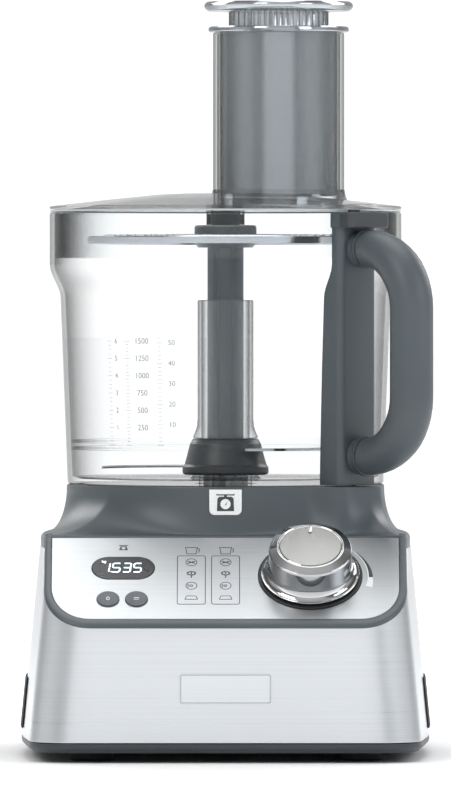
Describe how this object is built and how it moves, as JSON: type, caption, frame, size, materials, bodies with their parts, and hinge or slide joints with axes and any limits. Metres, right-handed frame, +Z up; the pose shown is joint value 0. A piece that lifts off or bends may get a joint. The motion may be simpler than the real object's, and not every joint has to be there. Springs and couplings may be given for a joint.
{
  "type": "food processor",
  "caption": "Bench-top food processor: weighing power base with sloping controls and dial, clear handled bowl with knife and disc, lid, feed tube and nested pushers.",
  "frame": {"origin": "bottom centre of the whole machine's box, on the surface that it stands on", "axes": "+Z up along the drive axis, -Y towards the control panel, +X to the user's right"},
  "size_m": [0.2364, 0.2665, 0.4347],
  "materials": {
    "grey_plastic": "fine-grained blue-grey moulding",
    "dark_plastic": "dark grey moulding",
    "black_plastic": "black moulding",
    "rubber": "soft black rubber",
    "brushed_steel": "brushed stainless steel, grain along X",
    "polished_steel": "polished stainless steel",
    "chrome": "satin chrome plate",
    "clear_plastic": "clear copolyester",
    "smoke_plastic": "smoke-grey transparent plastic",
    "white_print": "white moulding with a dark pictogram",
    "display_glass": "black display lens with lit white digits",
    "copper": "copper",
    "motor_iron": "stacked motor laminations",
    "white_nylon": "off-white nylon",
    "circuit_board": "green circuit board",
    "silicone": "soft translucent silicone"
  },
  "bodies": {
    "base": {"base_tray": "dark_plastic", "foot_front_left": "rubber", "foot_front_right": "rubber", "foot_rear_left": "rubber", "foot_rear_right": "rubber", "load_cell_front_left": "brushed_steel", "load_cell_front_right": "brushed_steel", "load_cell_rear_left": "brushed_steel", "load_cell_rear_right": "brushed_steel", "steel_wrap": "brushed_steel", "rear_cover": "grey_plastic", "side_grip_left": "black_plastic", "side_grip_right": "black_plastic", "upper_housing": "grey_plastic", "control_panel": "brushed_steel", "display_window": "display_glass", "display_module": "black_plastic", "dial_surround": "black_plastic", "dial_encoder": "black_plastic", "control_board": "circuit_board", "scale_badge": "white_print", "name_plate": "brushed_steel", "bowl_seat": "grey_plastic", "ring_gear": "polished_steel", "gear_case": "grey_plastic", "motor_stator": "motor_iron", "motor_mount": "grey_plastic", "brush_holder_left": "copper", "brush_holder_right": "copper", "bearing_lower": "polished_steel", "bearing_upper": "polished_steel", "interlock_switch": "black_plastic", "cord_gland": "black_plastic"},
    "rotor": {"armature": "motor_iron", "commutator": "copper", "cooling_fan": "white_nylon", "sun_gear": "polished_steel"},
    "gear_carrier": {"gear_carrier": "polished_steel"},
    "planet_1": {"planet_gear_1": "white_nylon"},
    "planet_2": {"planet_gear_2": "white_nylon"},
    "planet_3": {"planet_gear_3": "white_nylon"},
    "speed_dial": {"speed_dial": "chrome"},
    "button_zero": {"button_zero": "dark_plastic"},
    "button_units": {"button_units": "dark_plastic"},
    "bowl": {"bowl": "clear_plastic", "handle_post": "grey_plastic", "handle_grip": "grey_plastic", "interlock_spring": "polished_steel"},
    "interlock": {"interlock_rod": "dark_plastic"},
    "knife_drive": {"drive_shaft": "grey_plastic", "knife_hub": "dark_plastic", "knife_sleeve": "clear_plastic", "knife_blade_lower": "polished_steel", "knife_blade_upper": "polished_steel", "disc_hub": "grey_plastic", "grating_disc": "polished_steel"},
    "lid_seal": {"lid_seal": "silicone"},
    "lid": {"lid": "clear_plastic"},
    "pusher_outer": {"pusher_outer": "smoke_plastic"},
    "pusher_inner": {"pusher_inner": "smoke_plastic"}
  },
  "joints": [
    {"name": "rotor_spin", "type": "hinge", "parent": "base", "child": "rotor", "pos_m": [0, 0.0275, 0], "axis": [0, 0, 1], "continuous": true},
    {"name": "carrier_spin", "type": "hinge", "parent": "base", "child": "gear_carrier", "pos_m": [0, 0.0275, 0], "axis": [0, 0, 1], "continuous": true},
    {"name": "planet_1_spin", "type": "hinge", "parent": "gear_carrier", "child": "planet_1", "pos_m": [0.01875, 0.0275, 0.114], "axis": [0, 0, 1], "continuous": true},
    {"name": "planet_2_spin", "type": "hinge", "parent": "gear_carrier", "child": "planet_2", "pos_m": [-0.00937, 0.04374, 0.114], "axis": [0, 0, 1], "continuous": true},
    {"name": "planet_3_spin", "type": "hinge", "parent": "gear_carrier", "child": "planet_3", "pos_m": [-0.00937, 0.01126, 0.114], "axis": [0, 0, 1], "continuous": true},
    {"name": "dial_turn", "type": "hinge", "parent": "base", "child": "speed_dial", "pos_m": [0.048, -0.09748, 0.10466], "axis": [0, -0.6157, 0.788], "range_deg": [-100, 30]},
    {"name": "button_zero_press", "type": "slide", "parent": "base", "child": "button_zero", "axis": [0, 0.6157, -0.788], "range_m": [0, 0.0008], "stiffness_N_per_m": 800, "springref_m": -0.001},
    {"name": "button_units_press", "type": "slide", "parent": "base", "child": "button_units", "axis": [0, 0.6157, -0.788], "range_m": [0, 0.0008], "stiffness_N_per_m": 800, "springref_m": -0.001},
    {"name": "bowl_lift", "type": "slide", "parent": "base", "child": "bowl", "axis": [0, 0, 1], "range_m": [0, 0.09]},
    {"name": "knife_spin", "type": "hinge", "parent": "bowl", "child": "knife_drive", "pos_m": [0, 0.0275, 0], "axis": [0, 0, 1], "continuous": true},
    {"name": "lid_lift", "type": "slide", "parent": "bowl", "child": "lid_seal", "axis": [0, 0, 1], "range_m": [0, 0.1]},
    {"name": "lid_twist", "type": "hinge", "parent": "lid_seal", "child": "lid", "pos_m": [0, 0.0275, 0], "axis": [0, 0, 1], "range_deg": [0, 30]},
    {"name": "interlock_slide", "type": "slide", "parent": "bowl", "child": "interlock", "axis": [0, 0, 1], "range_m": [0, 0.0041], "deforming": ["interlock_spring"]},
    {"name": "pusher_outer_lift", "type": "slide", "parent": "lid", "child": "pusher_outer", "axis": [0, 0, 1], "range_m": [0, 0.11]},
    {"name": "pusher_inner_lift", "type": "slide", "parent": "pusher_outer", "child": "pusher_inner", "axis": [0, 0, 1], "range_m": [0, 0.1]}
  ],
  "couplings": [
    {"joint": "carrier_spin", "follows": "rotor_spin", "ratio": 0.25},
    {"joint": "planet_1_spin", "follows": "rotor_spin", "ratio": -0.75},
    {"joint": "planet_2_spin", "follows": "rotor_spin", "ratio": -0.75},
    {"joint": "planet_3_spin", "follows": "rotor_spin", "ratio": -0.75},
    {"joint": "knife_spin", "follows": "rotor_spin", "ratio": 0.25},
    {"joint": "interlock_slide", "follows": "lid_twist", "m_per_rad": 0.0076394}
  ]
}
